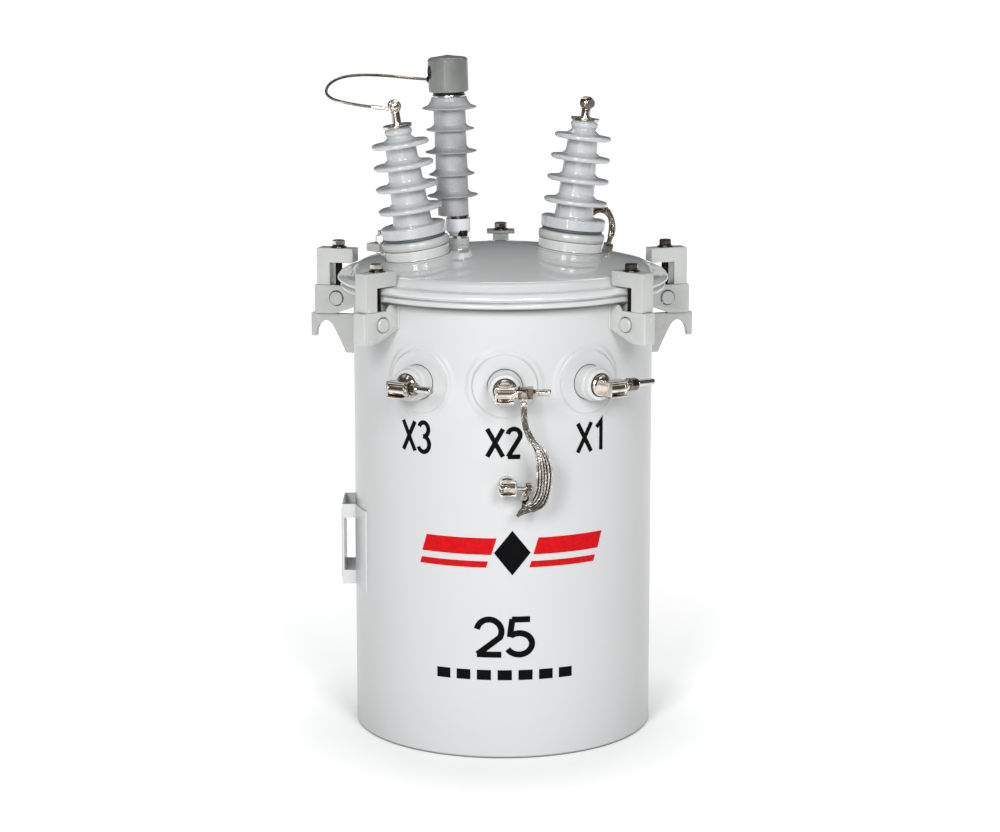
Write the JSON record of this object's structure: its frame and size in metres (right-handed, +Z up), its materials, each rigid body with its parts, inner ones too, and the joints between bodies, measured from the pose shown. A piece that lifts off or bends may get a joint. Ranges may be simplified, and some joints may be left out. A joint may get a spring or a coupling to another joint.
{
  "type": "pole mounted transformer",
  "caption": "Single-phase pole mounted distribution transformer: round tank, clamped domed cover with porcelain bushings and an arrester, low-voltage bushings in front, pole brackets behind.",
  "frame": {"origin": "centre of the tank's foot ring, on the floor", "axes": "+Z up along the tank, +Y towards the pole, -Y the low-voltage side, +X to the right of someone who faces the low-voltage side"},
  "size_m": [0.6142, 0.6148, 1.0585],
  "materials": {
    "tank_enamel": "glossy light grey enamel",
    "porcelain": "light grey glaze",
    "gasket_rubber": "matte black",
    "polymer_sheds": "satin grey silicone rubber",
    "guard_plastic": "satin dark grey",
    "black_plastic": "satin black",
    "hanger_plastic": "satin pale grey",
    "bare_metal": "satin",
    "tinned_bronze": "tin plated, bright",
    "zinc_steel": "zinc plated",
    "copper_braid": "tinned copper braid, aged"
  },
  "bodies": {
    "root": {"arrester_boss": "tank_enamel", "arrester_cap_ring": "bare_metal", "arrester_disconnector": "black_plastic", "arrester_end_plate": "bare_metal", "arrester_guard_cap": "guard_plastic", "arrester_hanger": "hanger_plastic", "arrester_housing": "polymer_sheds", "arrester_lead": "copper_braid", "arrester_ring": "bare_metal", "bonding_lugs": "tinned_bronze", "bonding_strap": "copper_braid", "clamp_bolts": "zinc_steel", "clamp_brackets": "tank_enamel", "clamp_jaws": "tank_enamel", "clamp_pins": "tank_enamel", "cover": "tank_enamel", "cover_gasket": "gasket_rubber", "ground_boss": "tank_enamel", "ground_connector": "tinned_bronze", "ground_strap": "copper_braid", "ground_stud": "zinc_steel", "hanger_bracket_lower": "tank_enamel", "hanger_bracket_upper": "tank_enamel", "hv_bosses": "tank_enamel", "hv_caps": "tinned_bronze", "hv_gaskets": "gasket_rubber", "hv_porcelain_left": "porcelain", "hv_porcelain_right": "porcelain", "hv_seat_rings": "tank_enamel", "hv_terminal_left": "tinned_bronze", "hv_terminal_right": "tinned_bronze", "lead_grommet": "black_plastic", "lead_lug": "tinned_bronze", "lifting_lug_left": "tank_enamel", "lifting_lug_right": "tank_enamel", "lv_bosses": "tank_enamel", "lv_connectors": "tinned_bronze", "lv_porcelains": "porcelain", "lv_studs": "zinc_steel", "nameplate": "bare_metal", "nameplate_bracket": "tank_enamel", "strap_lug_upper": "tinned_bronze", "tank_bottom": "tank_enamel", "tank_rim": "tank_enamel", "tank_wall": "tank_enamel", "terminal_bracket": "tank_enamel", "terminal_stud": "tinned_bronze"}
  },
  "joints": []
}
